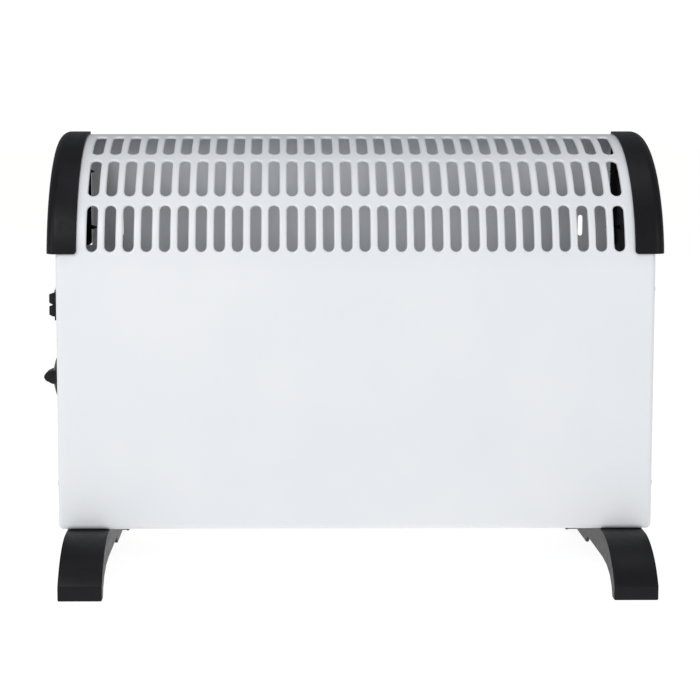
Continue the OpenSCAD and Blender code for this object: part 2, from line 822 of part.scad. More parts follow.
// End view of the knob's grip: a rounded bar, wider at its root.
module grip_bar_2d() {
    root = 6;
    tip_r = 3.3;
    polygon([
        [-root, 0], [root, 0], [root - 0.4, knob_h / 2], [tip_r, knob_h - tip_r / 2],
        [-tip_r, knob_h - tip_r / 2], [0.4 - root, knob_h / 2]
    ]);
    translate([0, knob_h - tip_r]) circle(tip_r);
}

module control_knob() {
    color([0.15, 0.15, 0.15]) on_left(control_y, knob_z) difference() {
        union() {
            knob_skirt();
            intersection() {
                rotate([90, 0, 0]) translate([0, 0, -knob_dia / 2]) linear_extrude(knob_dia) grip_bar_2d();
                translate([0, 0, knob_lift])
                    cylinder(h = knob_h, r1 = knob_dia / 2 - 1, r2 = knob_dia / 4);
            }
        }
        cylinder(h = nut_h + 1.4, r = 9);
        difference() {
            cylinder(h = knob_h - 3, r = shaft_r + 0.02);
            translate([-shaft_r, shaft_r - 1 + 0.02, nut_h + 1.4]) cube([2 * shaft_r, shaft_r, knob_h]);
        }
    }
}

module control_shaft() {
    color("silver") on_left(control_y, knob_z) difference() {
        translate([0, 0, -14]) cylinder(h = 14 + knob_h - 3.2, r = shaft_r);
        translate([-shaft_r, shaft_r - 1, nut_h + 1.4]) cube([2 * shaft_r, shaft_r, knob_h]);
    }
}

module thermostat_bush() {
    color("goldenrod") on_left(control_y, knob_z) difference() {
        union() {
            translate([0, 0, -6]) cylinder(h = 9, r = bush_r);
            translate([0, 0, -sheet_t - 2.2]) cylinder(h = 2.2, r = 7);
        }
        translate([0, 0, -6 - over]) cylinder(h = 9 + 2 * over, r = shaft_r + running_gap);
    }
}

module thermostat_nut() {
    color("silver") on_left(control_y, knob_z) difference() {
        cylinder(h = nut_h, r = 7.4, $fn = 6);
        translate([0, 0, -over]) cylinder(h = nut_h + 2 * over, r = bush_r + 0.02);
    }
}

module thermostat_body() {
    body_top = sheet_t + 2.2;
    color([0.35, 0.2, 0.12]) on_left(control_y, knob_z) difference() {
        translate([0, 0, -thermostat_back]) slab(22, 32, thermostat_back - body_top);
        translate([0, 0, -6.2]) cylinder(h = 6, r = bush_r + 0.1);
        translate([0, 0, -15]) cylinder(h = 12, r = shaft_r + 1);
    }
}

module thermostat_bimetal() {
    color("lightsteelblue") on_left(control_y, knob_z) {
        translate([-8, -4, -thermostat_back - 1.6]) cube([4, 8, 1.6]);
        translate([-10, -4, -thermostat_back - 2.3]) cube([44, 8, 0.7]);
        translate([30, 0, -thermostat_back - 1.6]) cylinder(h = 1.2, r = 2);
    }
}

module thermostat_terminals() {
    color("goldenrod") on_left(control_y, knob_z) for (y = [-9, 9])
        translate([-19, y - 3.15, -11]) cube([8, 6.3, 0.8]);
}

// ---------------------------------------------------------------- fan and motor

module fan_shroud() {
    foot_l = 10;
    leg_h = shroud_top - floor_z;
    color("lightgray") difference() {
        union() {
            translate([0, 0, shroud_top - shroud_t]) slab(2 * shroud_half, 2 * (shroud_half - 2), shroud_t);
            translate([0, 0, fan_z - 2]) cylinder(h = impeller_h + 3, r = shroud_r + shroud_t);
            both_sides() {
                translate([shroud_half - shroud_t, -20, floor_z]) cube([shroud_t, 40, leg_h]);
                translate([shroud_half - shroud_t, -20, floor_z]) cube([foot_l, 40, shroud_t]);
            }
        }
        translate([0, 0, fan_z - 3]) cylinder(h = impeller_h + 10, r = shroud_r);
    }
}

module fan_impeller() {
    pitch_angle = 34;
    blade_t = 1.6;
    color([0.85, 0.85, 0.82]) translate([0, 0, fan_z]) difference() {
        union() {
            cylinder(h = impeller_h, r = 10);
            intersection() {
                difference() {
                    cylinder(h = impeller_h, r = impeller_dia / 2);
                    translate([0, 0, -over]) cylinder(h = impeller_h + 2 * over, r = 9);
                }
                for (i = [0:blade_count - 1]) rotate(i * 360 / blade_count)
                    translate([0, 0, impeller_h / 2]) rotate([pitch_angle, 0, 0])
                        translate([0, -12, -blade_t / 2]) cube([impeller_dia, 24, blade_t]);
            }
        }
        translate([0, 0, -over]) cylinder(h = impeller_h + 2 * over, r = fan_shaft_r + 0.01);
    }
}

module fan_shaft() {
    color("silver") translate([0, 0, fan_z - 1])
        cylinder(h = stack_z + stack_h + bridge_h + 3 - fan_z + 1, r = fan_shaft_r);
}

module motor_rotor() {
    color("gray") translate([0, 0, stack_z]) difference() {
        cylinder(h = stack_h, r = rotor_r);
        translate([0, 0, -over]) cylinder(h = stack_h + 2 * over, r = fan_shaft_r + 0.01);
        for (a = [0:30:330]) rotate(a)
            translate([rotor_r - 1.6, 0, -over]) cylinder(h = stack_h + 2 * over, r = 0.8);
    }
}

module motor_screw_places() {
    for (s = [-1, 1]) translate([-motor_screw_x, s * motor_screw_y, 0]) children();
}

module motor_bracket() {
    half_l = shroud_half - 4;
    leg_h = strap_z - shroud_top;
    color("lightgray") difference() {
        union() {
            translate([0, 0, strap_z]) slab(strap_w + 12, 2 * half_l, strap_t);
            for (s = [-1, 1]) {
                translate([0, s * (half_l - strap_t / 2), shroud_top]) slab(strap_w, strap_t, leg_h);
                translate([0, s * (half_l - 4.5), shroud_top]) slab(strap_w, 9, strap_t);
            }
        }
        translate([0, 0, strap_z - over]) cylinder(h = strap_t + 2 * over, r = hub_r + 1);
        motor_screw_places() translate([0, 0, strap_z - over])
            cylinder(h = strap_t + 2 * over, r = motor_screw_r + hole_play);
    }
}

// A die-cast bridge that carries one bearing: an arm with two legs and a hub.
module bearing_bridge() {
    arm_t = 2.4;
    difference() {
        union() {
            cylinder(h = bridge_h, r = hub_r);
            bridge_arms(arm_t);
            motor_screw_places() cylinder(h = bridge_h, r = 4);
        }
        translate([0, 0, -over]) cylinder(h = bridge_h + 2 * over, r = hub_r - 2);
        motor_screw_places() translate([0, 0, -over])
            cylinder(h = bridge_h + 2 * over, r = motor_screw_r + hole_play);
    }
}

module bridge_arms(arm_t) {
    reach = norm([motor_screw_x, motor_screw_y]);
    for (s = [-1, 1]) rotate(180 - s * atan2(motor_screw_y, motor_screw_x))
        translate([0, -3, 0]) cube([reach, 6, arm_t]);
}

module lower_bearing_bridge() {
    color("darkgray") translate([0, 0, strap_z + strap_t]) bearing_bridge();
}

module upper_bearing_bridge() {
    color("darkgray") translate([0, 0, stack_z + stack_h + bridge_h]) mirror([0, 0, 1]) bearing_bridge();
}

module bearing_bushes() {
    color("peru") for (z = [strap_z + strap_t, stack_z + stack_h]) translate([0, 0, z + 0.5]) difference() {
        cylinder(h = bridge_h - 1, r = hub_r - 2 - 0.01);
        translate([0, 0, -over]) cylinder(h = bridge_h + 2 * over, r = fan_shaft_r + running_gap);
    }
}

module stator_core() {
    color([0.45, 0.45, 0.48]) translate([0, 0, stack_z]) difference() {
        translate([-stack_back, -stack_half, 0]) cube([stack_back + leg_to, 2 * stack_half, stack_h]);
        translate([0, 0, -over]) cylinder(h = stack_h + 2 * over, r = rotor_r + air_gap);
        translate([window_from, -window_half, -over])
            cube([leg_from - window_from, 2 * window_half, stack_h + 2 * over]);
        motor_screw_places() translate([0, 0, -over])
            cylinder(h = stack_h + 2 * over, r = motor_screw_r + hole_play);
    }
}

// The bobbin sits round the leg: a sleeve with two flanges.
module coil_bobbin() {
    sleeve = bobbin_play + bobbin_t;
    color([0.9, 0.88, 0.8]) translate([leg_x, 0, stack_z + stack_h / 2]) difference() {
        union() {
            cube([leg_w + 2 * sleeve, 2 * bobbin_half, stack_h + 2 * sleeve], center = true);
            for (s = [-1, 1]) translate([0, s * (bobbin_half - bobbin_t / 2), 0])
                cube([leg_w + 2 * coil_build + 1, bobbin_t, stack_h + 2 * coil_build + 3], center = true);
        }
        cube([leg_w + 2 * bobbin_play, 4 * bobbin_half, stack_h + 2 * bobbin_play], center = true);
    }
}

module stator_coil() {
    hole = bobbin_play + bobbin_t;
    color([0.72, 0.36, 0.14]) translate([leg_x, 0, stack_z + stack_h / 2]) difference() {
        cube([leg_w + 2 * coil_build, 2 * (bobbin_half - bobbin_t) - 0.1, stack_h + 2 * coil_build + 1],
            center = true);
        cube([leg_w + 2 * hole + 0.1, 2 * bobbin_half, stack_h + 2 * hole + 0.1], center = true);
    }
}

module motor_screws() {
    l = stack_z + stack_h + bridge_h - strap_z + 3;
    color("silver") motor_screw_places() translate([0, 0, stack_z + stack_h + bridge_h])
        screw(l, motor_screw_r, 3, 2);
}

// ---------------------------------------------------------------- heating element

module board_places() {
    for (s = [-1, 1]) translate([0, s * board_spacing / 2, board_z]) children();
}

module element_bracket() {
    top = board_z + board_h + 10;
    lip = 10;
    color("silver") difference() {
        union() {
            translate([element_x, -bracket_half, floor_z]) cube([bracket_t, 2 * bracket_half, top - floor_z]);
            translate([element_x, -bracket_half, floor_z]) cube([lip, 2 * bracket_half, bracket_t]);
            translate([element_x, -bracket_half, board_z - 20]) cube([lip, bracket_t, top - board_z + 20]);
        }
        board_places()
            translate([element_x - over, -board_t / 2 - tab_play, (board_h - tab_h) / 2 - tab_play])
                cube([bracket_t + 2 * over, board_t + 2 * tab_play, tab_h + 2 * tab_play]);
        translate([element_x - over, 0, floor_z + 50]) rotate([0, 90, 0])
            cylinder(h = bracket_t + 2 * over, r = 16);
    }
}

module left_element_bracket() { mirror([1, 0, 0]) element_bracket(); }
module right_element_bracket() { element_bracket(); }

module mica_boards() {
    half_l = element_x - 0.3;
    color([0.78, 0.72, 0.6]) board_places() {
        translate([-half_l, -board_t / 2, 0]) cube([2 * half_l, board_t, board_h]);
        translate([-half_l - bracket_t - 3, -board_t / 2, (board_h - tab_h) / 2])
            cube([2 * (half_l + bracket_t + 3), board_t, tab_h]);
    }
}

// One turn of wire goes up the front of its board and down the back.
function turn_points(x, pitch, off, low, high) = [
    [x, -off, low], [x + pitch * 0.45, -off, high], [x + pitch * 0.5, off, high], [x + pitch * 0.95, off, low]
];

module heat_wire(turns) {
    off = board_t / 2 + heat_wire_r + 0.1;
    span = 2 * element_x - 40;
    pitch = span / turns;
    high = board_h + heat_wire_r + 0.1;
    low = -heat_wire_r - 0.1;
    points = [for (i = [0:turns - 1]) each turn_points(-span / 2 + i * pitch, pitch, off, low, high)];
    tube(points, heat_wire_r, 6);
}

module low_heat_wire() {
    color([0.55, 0.5, 0.45]) translate([0, -board_spacing / 2, board_z]) heat_wire(low_turns);
}

module high_heat_wire() {
    color([0.5, 0.46, 0.42]) translate([0, board_spacing / 2, board_z]) heat_wire(high_turns);
}

// Rivets at the ends of the boards, which the supply wires are fixed to.
module wire_studs() {
    color("silver") both_sides() board_places() translate([element_x - 10, 0, board_h / 2])
        rotate([90, 0, 0]) for (s = [-1, 1]) translate([0, 0, s > 0 ? board_t / 2 : -board_t / 2 - 2.5])
            cylinder(h = 2.5, r = 2.5);
}

module heat_shield() {
    low = board_z - 10;
    high = board_z + board_h + 8;
    color("gainsboro") {
        translate([-element_x - 8, shield_y + fit_gap, low])
            cube([2 * (element_x + 8), shield_t, high - low]);
        translate([-element_x + 2, shield_y + fit_gap, high - shield_t])
            cube([2 * (element_x - 2), 8, shield_t]);
    }
}

module thermal_cutout() {
    color([0.2, 0.2, 0.2]) translate([-element_x, 0, board_z + board_h + 2]) rotate([0, 90, 0]) {
        cylinder(h = 6, r = 7);
        cylinder(h = 7.5, r = 5.5);
    }
}

module thermal_fuse() {
    color("silver") translate([-element_x + 5, -30, board_z + 20]) {
        cylinder(h = 11, r = 2);
        translate([0, 0, -6]) cylinder(h = 23, r = 0.5);
    }
}

// ---------------------------------------------------------------- supply and wiring

module block_places() {
    for (i = [-1:1]) translate([block_x + i * block_pitch, 0, 0]) children();
}

module terminal_block() {
    color([0.93, 0.92, 0.88]) difference() {
        translate([block_x, 0, floor_z]) slab(block_l, block_w, block_h);
        block_places() {
            translate([0, 0, floor_z + 6]) cylinder(h = block_h, r = 2.7);
            translate([0, -block_w, floor_z + 5]) rotate([-90, 0, 0]) cylinder(h = 2 * block_w, r = 1.8);
        }
    }
}

module terminal_screws() {
    color("goldenrod") block_places() translate([0, 0, floor_z + 7.5]) difference() {
        cylinder(h = 4.5, r = 2.5);
        translate([-3, -0.4, 3.5]) cube([6, 0.8, 2]);
    }
}

module cord_gland() {
    color([0.15, 0.15, 0.15]) translate([cord_x, cord_y, plate_z]) difference() {
        union() {
            translate([0, 0, -2.6]) cylinder(h = 2.6, r = gland_lip_r);
            cylinder(h = 11, r = gland_r);
            translate([0, 0, sheet_t + fit_gap]) cylinder(h = 2, r = gland_r + 1);
        }
        translate([0, 0, -2.6 - over]) cylinder(h = 14 + 2 * over, r = cord_hole_r);
    }
}

// An upright bracket with a ring that grips the lead above the gland.
module cord_clamp() {
    ring_z = plate_z + 16;
    color("silver") {
        translate([cord_x + gland_lip_r, cord_y - 6, floor_z]) cube([10, 12, 1]);
        translate([cord_x + gland_lip_r, cord_y - 6, floor_z]) cube([1, 12, ring_z - floor_z + 6]);
        difference() {
            union() {
                translate([cord_x, cord_y, ring_z]) cylinder(h = 6, r = cord_hole_r + 1.5);
                translate([cord_x, cord_y - 2, ring_z]) cube([gland_lip_r + 0.5, 4, 6]);
            }
            translate([cord_x, cord_y, ring_z - over]) cylinder(h = 6 + 2 * over, r = cord_hole_r);
        }
    }
}

module wire(points) { tube(smooth(points, 6), wire_r); }

module live_wire() {
    top = switch_z + (rocker_w + rocker_gap) / 2;
    color("saddlebrown") wire([
        [term_x, control_y, top], [term_x + 8, control_y, top], [term_x + 11, control_y + 2, top - 14],
        [term_x + 9, control_y + 6, knob_z], [-element_x - 9, -6, floor_z + 62],
        [-element_x + 1, 0, floor_z + 50], [-element_x + 16, -6, floor_z + 38],
        [block_x - 20, front_port - 18, floor_z + 16], [block_x - 11, front_port - 14, port_z],
        [block_x - 11, front_port, port_z]
    ]);
}

module neutral_wire() {
    stud_y = -board_spacing / 2 - board_t / 2 - 2.5 - 0.1;
    color("royalblue") wire([
        [block_x, front_port, port_z], [block_x, front_port - 14, port_z],
        [block_x - 4, front_port - 22, floor_z + 20], [-element_x + 12, -34, board_z - 20],
        [-element_x + 10, -32, board_z + board_h / 2 - 6],
        [-element_x + 10, stud_y - 6, board_z + board_h / 2],
        [-element_x + 10, stud_y, board_z + board_h / 2]
    ]);
}

module earth_wire() {
    color("yellowgreen") wire([
        [block_x + 11, front_port, port_z], [block_x + 11, front_port - 10, port_z],
        [block_x + 16, front_port - 14, floor_z + 8], [block_x + 26, front_port - 6, floor_z + 3],
        [block_x + 30, 0, floor_z + wire_r + 0.1], [block_x + 30, 12, floor_z + wire_r + 0.1]
    ]);
}

module fan_wires() {
    coil_top = stack_z + stack_h + coil_build + 0.5 + wire_gap;
    color("white") for (s = [-1, 1]) wire([
        [leg_x + 3 * s, 0, coil_top], [leg_x + 3 * s, 0, coil_top + 4],
        [leg_x - 14, -14 - 2 * s, coil_top + 9], [-20, -26 - 3 * s, coil_top + 6],
        [-shroud_half - 12, -30 - 3 * s, shroud_top + 12],
        [block_x + 60, -34 - 3 * s, floor_z + 26], [block_x + 44, -36 - 3 * s, floor_z + 12 + 4 * s]
    ]);
}

front_panel();
back_panel();
bottom_plate();
left_side_panel();
right_side_panel();
left_end_cap();
right_end_cap();
left_cap_liner();
right_cap_liner();
cap_screws();
casing_screws();
left_foot();
right_foot();
foot_screws();
switch_housing();
rocker_pivot_pin();
upper_rocker();
lower_rocker();
switch_terminals();
control_knob();
control_shaft();
thermostat_bush();
thermostat_nut();
thermostat_body();
thermostat_bimetal();
thermostat_terminals();
fan_shroud();
fan_impeller();
fan_shaft();
motor_rotor();
motor_bracket();
lower_bearing_bridge();
upper_bearing_bridge();
bearing_bushes();
stator_core();
coil_bobbin();
stator_coil();
motor_screws();
left_element_bracket();
right_element_bracket();
mica_boards();
low_heat_wire();
high_heat_wire();
wire_studs();
heat_shield();
thermal_cutout();
thermal_fuse();
terminal_block();
terminal_screws();
cord_gland();
cord_clamp();
live_wire();
neutral_wire();
earth_wire();
fan_wires();
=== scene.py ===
"""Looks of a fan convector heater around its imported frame.

A powder-coated casing whose slots are pressed inwards, moulded end caps, feet and controls with
softened edges, and a material of its own for each inner part. Metres, in the frame of the CAD.
"""

import json
import math

import bmesh
import bpy
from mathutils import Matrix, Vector
from mathutils.bvhtree import BVHTree


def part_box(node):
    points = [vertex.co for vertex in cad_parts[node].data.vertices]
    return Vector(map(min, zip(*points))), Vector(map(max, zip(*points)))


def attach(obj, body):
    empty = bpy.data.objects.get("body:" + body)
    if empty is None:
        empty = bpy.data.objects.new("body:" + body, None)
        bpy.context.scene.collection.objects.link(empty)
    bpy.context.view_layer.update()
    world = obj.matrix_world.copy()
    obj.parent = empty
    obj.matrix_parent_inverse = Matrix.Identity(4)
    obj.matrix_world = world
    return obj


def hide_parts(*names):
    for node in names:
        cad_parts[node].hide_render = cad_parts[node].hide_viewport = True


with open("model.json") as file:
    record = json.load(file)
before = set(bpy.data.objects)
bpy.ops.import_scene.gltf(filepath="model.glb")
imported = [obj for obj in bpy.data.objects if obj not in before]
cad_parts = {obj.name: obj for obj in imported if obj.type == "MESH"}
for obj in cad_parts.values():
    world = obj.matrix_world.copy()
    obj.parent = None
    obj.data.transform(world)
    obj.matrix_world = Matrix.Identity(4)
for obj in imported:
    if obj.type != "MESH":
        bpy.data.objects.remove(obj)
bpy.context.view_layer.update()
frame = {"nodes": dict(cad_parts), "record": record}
SLOT_OF = {part["node"]: part["material_slot"] for part in frame["record"]["subparts"]}
BODY_OF = {n: b for b, ns in frame["record"]["behaviour"]["bodies"].items() for n in ns}

MM = 0.001
ONE_STRIPE = 0.314         # scale at which the wave texture repeats once per unit

# ---------------------------------------------------------------- materials


def srgb(red, green, blue):
    """The linear colour of three display values from 0 to 255."""
    def linear(v):
        v /= 255
        return v / 12.92 if v <= 0.04045 else ((v + 0.055) / 1.055) ** 2.4
    return (linear(red), linear(green), linear(blue), 1.0)


class Finish:
    """A material in the making: its shader, and short calls that add and join nodes."""

    def __init__(self, name, roughness=0.5, metallic=0.0, specular=0.5):
        self.material = bpy.data.materials.new(name)
        self.material.use_nodes = True
        self.tree = self.material.node_tree
        self.shader = self.tree.nodes["Principled BSDF"]
        self.set("Roughness", roughness)
        self.set("Metallic", metallic)
        self.set("Specular IOR Level", specular)
        self.place = self.add("ShaderNodeTexCoord").outputs["Object"]
        self.normal = None

    def set(self, socket, value):
        self.shader.inputs[socket].default_value = value

    def add(self, kind, **settings):
        node = self.tree.nodes.new(kind)
        for name, value in settings.items():
            setattr(node, name, value)
        return node

    def join(self, output, socket):
        self.tree.links.new(output, socket)

    def scaled(self, size, stretch=(1, 1, 1)):
        """The place on the piece, in steps of size metres, drawn out by stretch."""
        node = self.add("ShaderNodeMapping")
        node.inputs["Scale"].default_value = [1 / (size * s) for s in stretch]
        self.join(self.place, node.inputs["Vector"])
        return node.outputs["Vector"]

    def noise(self, size, detail=2.0, stretch=(1, 1, 1)):
        node = self.add("ShaderNodeTexNoise")
        node.inputs["Scale"].default_value = 1.0
        node.inputs["Detail"].default_value = detail
        self.join(self.scaled(size, stretch), node.inputs["Vector"])
        return node.outputs["Fac"]

    def cells(self, size, stretch=(1, 1, 1), output="Distance"):
        node = self.add("ShaderNodeTexVoronoi")
        node.inputs["Scale"].default_value = 1.0
        self.join(self.scaled(size, stretch), node.inputs["Vector"])
        return node.outputs[output]

    def bands(self, size, axis, wobble=0.0):
        """Even stripes of that spacing, one after the other along an axis."""
        node = self.add("ShaderNodeTexWave", bands_direction=axis)
        node.inputs["Scale"].default_value = ONE_STRIPE
        node.inputs["Distortion"].default_value = wobble
        self.join(self.scaled(size), node.inputs["Vector"])
        return node.outputs["Fac"]

    def tones(self, mask, dark, light, low=0.3, high=0.7):
        """Base colour that goes from dark to light as the mask goes from low to high."""
        node = self.add("ShaderNodeValToRGB")
        first, last = node.color_ramp.elements
        first.position, last.position = low, high
        first.color, last.color = dark, light
        self.join(mask, node.inputs["Fac"])
        self.join(node.outputs["Color"], self.shader.inputs["Base Color"])

    def gloss(self, mask, low, high):
        """Roughness from low to high over the usual range of a noise."""
        node = self.add("ShaderNodeMapRange")
        span = {"From Min": 0.3, "From Max": 0.7, "To Min": low, "To Max": high}
        for socket, value in span.items():
            node.inputs[socket].default_value = value
        self.join(mask, node.inputs["Value"])
        self.join(node.outputs["Result"], self.shader.inputs["Roughness"])

    def relief(self, mask, depth):
        """Adds fine surface relief of that depth in metres on top of any before it."""
        node = self.add("ShaderNodeBump")
        node.inputs["Distance"].default_value = depth
        self.join(mask, node.inputs["Height"])
        if self.normal:
            self.join(self.normal, node.inputs["Normal"])
        self.normal = node.outputs["Normal"]
        self.join(self.normal, self.shader.inputs["Normal"])


def powder_coat(name, dark, light):
    """Baked paint on steel: even colour, semi-gloss, with a faint orange peel."""
    made = Finish(name)
    made.tones(made.noise(90 * MM, 3), dark, light)
    made.gloss(made.noise(14 * MM, 4), 0.28, 0.36)
    made.relief(made.noise(1.9 * MM, 1), 0.012 * MM)
    made.relief(made.noise(0.45 * MM, 2), 0.003 * MM)
    return made.material


def moulded(name, dark, light, rough=0.42, grain=0.35, depth=0.018, specular=0.5):
    """Injection-moulded plastic with the fine grain of a spark-eroded tool."""
    made = Finish(name, specular=specular)
    made.tones(made.noise(40 * MM, 3), dark, light)
    made.gloss(made.noise(6 * MM, 4), rough - 0.05, rough + 0.05)
    made.relief(made.noise(grain * MM, 2), depth * MM)
    return made.material


def galvanised(name):
    """Zinc-coated sheet with the flat crystals of its spangle."""
    made = Finish(name, metallic=1.0)
    crystals = made.cells(7 * MM, (1, 1.6, 1.2), "Color")
    made.tones(crystals, srgb(166, 172, 186), srgb(200, 206, 218), 0.1, 0.9)
    made.gloss(crystals, 0.3, 0.46)
    made.relief(made.noise(2.5 * MM, 4), 0.01 * MM)
    return made.material


def bare_metal(name, dark, light, rough, stretch=(1, 1, 1), scratch=0.5):
    """Plated or drawn metal; stretch pulls its fine scratches out along one axis."""
    made = Finish(name, metallic=1.0)
    made.tones(made.noise(3 * MM, 4, stretch), dark, light)
    made.gloss(made.noise(1.2 * MM, 3, stretch), rough - 0.08, rough + 0.1)
    made.relief(made.noise(scratch * MM, 2, stretch), 0.006 * MM)
    return made.material


def laminated(name):
    """The edge of a stack of thin steel stampings, laid on one another along Z."""
    made = Finish(name, metallic=0.8)
    sheets = made.bands(0.5 * MM, "Z", 0.4)
    made.tones(sheets, srgb(58, 58, 60), srgb(128, 128, 130), 0.2, 0.7)
    made.gloss(made.noise(4 * MM, 3), 0.42, 0.58)
    made.relief(sheets, 0.06 * MM)
    return made.material


def winding(name):
    """Enamelled copper wire wound in close turns along Y, its colour darkened into painted shade in
    the grooves between turns.
    """
    made = Finish(name, metallic=0.85)
    turns_and_painted_shade = made.bands(0.42 * MM, "Y", 0.7)
    # painted shade: the copper colour goes dark in the grooves between turns, as if shadowed there
    made.tones(turns_and_painted_shade, srgb(92, 40, 18), srgb(196, 104, 52), 0.1, 0.8)
    made.gloss(made.noise(3 * MM, 3), 0.26, 0.42)
    made.relief(turns_and_painted_shade, 0.09 * MM)
    return made.material


def mica(name):
    """Pressed mica board: pale flakes in a warm grey binder."""
    made = Finish(name)
    flakes = made.cells(1.6 * MM, (1.8, 1, 1.3), "Color")
    made.tones(flakes, srgb(150, 138, 112), srgb(206, 198, 176), 0.1, 0.95)
    made.gloss(flakes, 0.34, 0.6)
    made.relief(made.noise(1.1 * MM, 4), 0.025 * MM)
    return made.material


def sleeved(name, dark, light):
    """Silicone sleeve over a wire: soft sheen, slightly uneven along its length."""
    made = Finish(name)
    made.tones(made.noise(7 * MM, 3), dark, light)
    made.gloss(made.noise(2 * MM, 3), 0.42, 0.58)
    made.relief(made.noise(1.2 * MM, 2), 0.02 * MM)
    made.set("Sheen Weight", 0.15)
    return made.material


def toned_bimetal(name):
    """A bimetal strip, blued a little where it has been warm."""
    made = Finish(name, metallic=1.0)
    made.tones(made.noise(8 * MM, 2), srgb(146, 128, 118), srgb(190, 168, 136))
    made.gloss(made.noise(0.8 * MM, 3, (1, 6, 1)), 0.28, 0.42)
    made.relief(made.noise(0.5 * MM, 2, (1, 8, 1)), 0.004 * MM)
    return made.material


def make_materials():
    """One material for each of the record's slots."""
    black = dict(dark=srgb(20, 20, 22), light=srgb(27, 27, 30), specular=0.14)
    return {
        "casing_white": powder_coat("casing_white_paint", srgb(226, 229, 233), srgb(230, 232, 236)),
        "black_plastic": moulded("black_moulded", rough=0.4, **black),
        "inner_black": moulded("inner_black_moulded", rough=0.55, grain=0.6, **black),
        "black_screw": bare_metal("black_oxide", srgb(22, 22, 24), srgb(44, 44, 48), 0.38),
        "zinc_screw": bare_metal("zinc_plate", srgb(150, 152, 156), srgb(196, 198, 200), 0.28),
        "galvanised": galvanised("galvanised_sheet"),
        "brass": bare_metal("brass_bar", srgb(148, 118, 58), srgb(204, 172, 96), 0.3, (1, 5, 1)),
        "brown_phenolic": moulded("brown_phenolic_resin", srgb(58, 34, 22), srgb(84, 52, 34), 0.36),
        "bimetal": toned_bimetal("bimetal_strip"),
        "mica": mica("mica_board"),
        "heat_wire": bare_metal("oxidised_heat_wire", srgb(84, 78, 74), srgb(138, 128, 118), 0.44),
        "cutout_case": moulded("cutout_case_black", srgb(34, 34, 36), srgb(44, 44, 46), 0.26),
        "cast_bridge": bare_metal("cast_alloy", srgb(126, 126, 128), srgb(168, 168, 168), 0.52),
        "lamination": laminated("steel_laminations"),
        "motor_shaft": bare_metal(
            "ground_steel", srgb(158, 160, 164), srgb(208, 210, 212), 0.18, (1, 1, 9)
        ),
        "copper": winding("copper_winding"),
        "cream_nylon": moulded("cream_nylon", srgb(206, 196, 168), srgb(222, 214, 190), 0.38, 0.6),
        "impeller_white": moulded(
            "white_impeller", srgb(206, 208, 206), srgb(220, 222, 220), 0.4, 0.6
        ),
        "gland_rubber": moulded(
            "black_rubber", srgb(24, 24, 25), srgb(36, 36, 37), 0.66, 0.5, 0.03
        ),
        "brown_sleeve": sleeved("brown_sleeving", srgb(70, 36, 20), srgb(112, 62, 38)),
        "blue_sleeve": sleeved("blue_sleeving", srgb(20, 58, 120), srgb(44, 96, 168)),
        "green_sleeve": sleeved("green_sleeving", srgb(52, 112, 30), srgb(176, 178, 40)),
        "white_sleeve": sleeved("white_sleeving", srgb(186, 186, 180), srgb(226, 226, 222)),
    }


MATERIALS = make_materials()


# ---------------------------------------------------------------- the front panel

SHEET_T = 0.8 * MM
EDGE_R = 4.5 * MM
RETURN_D = 12 * MM
SLOT_PITCH = 15.4 * MM
SLOT_W = 9.2 * MM
SLOT_L = 41.1 * MM
ROW_GAP = 9.1 * MM
FIRST_ROW = 16.7 * MM        # plain sheet before the first row, along the curve
ROWS = 3
COLUMNS = 30
LIP_R = 1.7 * MM           # radius over which a slot's edge rolls in
LIP_D = 2.3 * MM           # depth of the rolled edge
LIP_STEPS = 4
BEND_STEPS = 6
CELL_ACROSS = 4            # quads across and along the sheet round one slot
CELL_ALONG = 12
END_STEPS = 8              # quads round a slot's end, and half of those down its straight sides
SIDE_STEPS = 4
FRONT_STEPS = 12           # rows of quads up the flat front
PLAIN_STEPS = 5            # and on the plain sheet before the first row of slots
NOTCH_D = 2.5 * MM         # corner that is cut out of the top edge for the end cap's wall
NOTCH_SIDE = 2 * MM        # and how far it reaches inwards past the cap
TOUCH = 0.001 * MM         # places closer than this are the same


class PanelShape:
    """The outer face of the front panel: flat, bent in at its edges, and rolled back at the top.

    Across: x is the place on the flat, a the share of the side bend, t the length of its return.
    Along: z or phi says how far up, b is the share of the bottom bend, u its return's length.
    """

    def __init__(self):
        low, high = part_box("front_panel")
        self.half = high.x
        self.front, self.back = low.y, high.y
        self.low, self.top = low.z, high.z
        self.radius = self.back - self.front
        self.arc_z = self.top - self.radius
        self.arc_length = self.radius * math.pi / 2
        self.cap_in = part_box("right_end_cap")[0].x

    def point(self, across, along, depth=0.0):
        x, a, t = across
        kind, value, u = along
        if kind == "arc":
            phi = value / self.radius
            normal = Vector((0, -math.cos(phi), math.sin(phi)))
            core = Vector((0, self.back, self.arc_z)) + normal * (self.radius - EDGE_R)
        else:
            normal = Vector((0, -1, 0))
            core = Vector((0, self.front + EDGE_R, max(value, self.low + EDGE_R)))
        side = math.copysign(a, x) * math.pi / 2
        out = normal * math.cos(side) + Vector((math.sin(side), 0, 0))
        if kind == "bend":
            turn = u * math.pi / 2
            out = out * math.cos(turn) + Vector((0, 0, -math.sin(turn)))
            u = 0.0
        elif kind == "return":
            out = Vector((0, 0, -1))
        else:
            u = 0.0
        core.x = x
        return core + out * (EDGE_R - depth) - normal * (t + u)


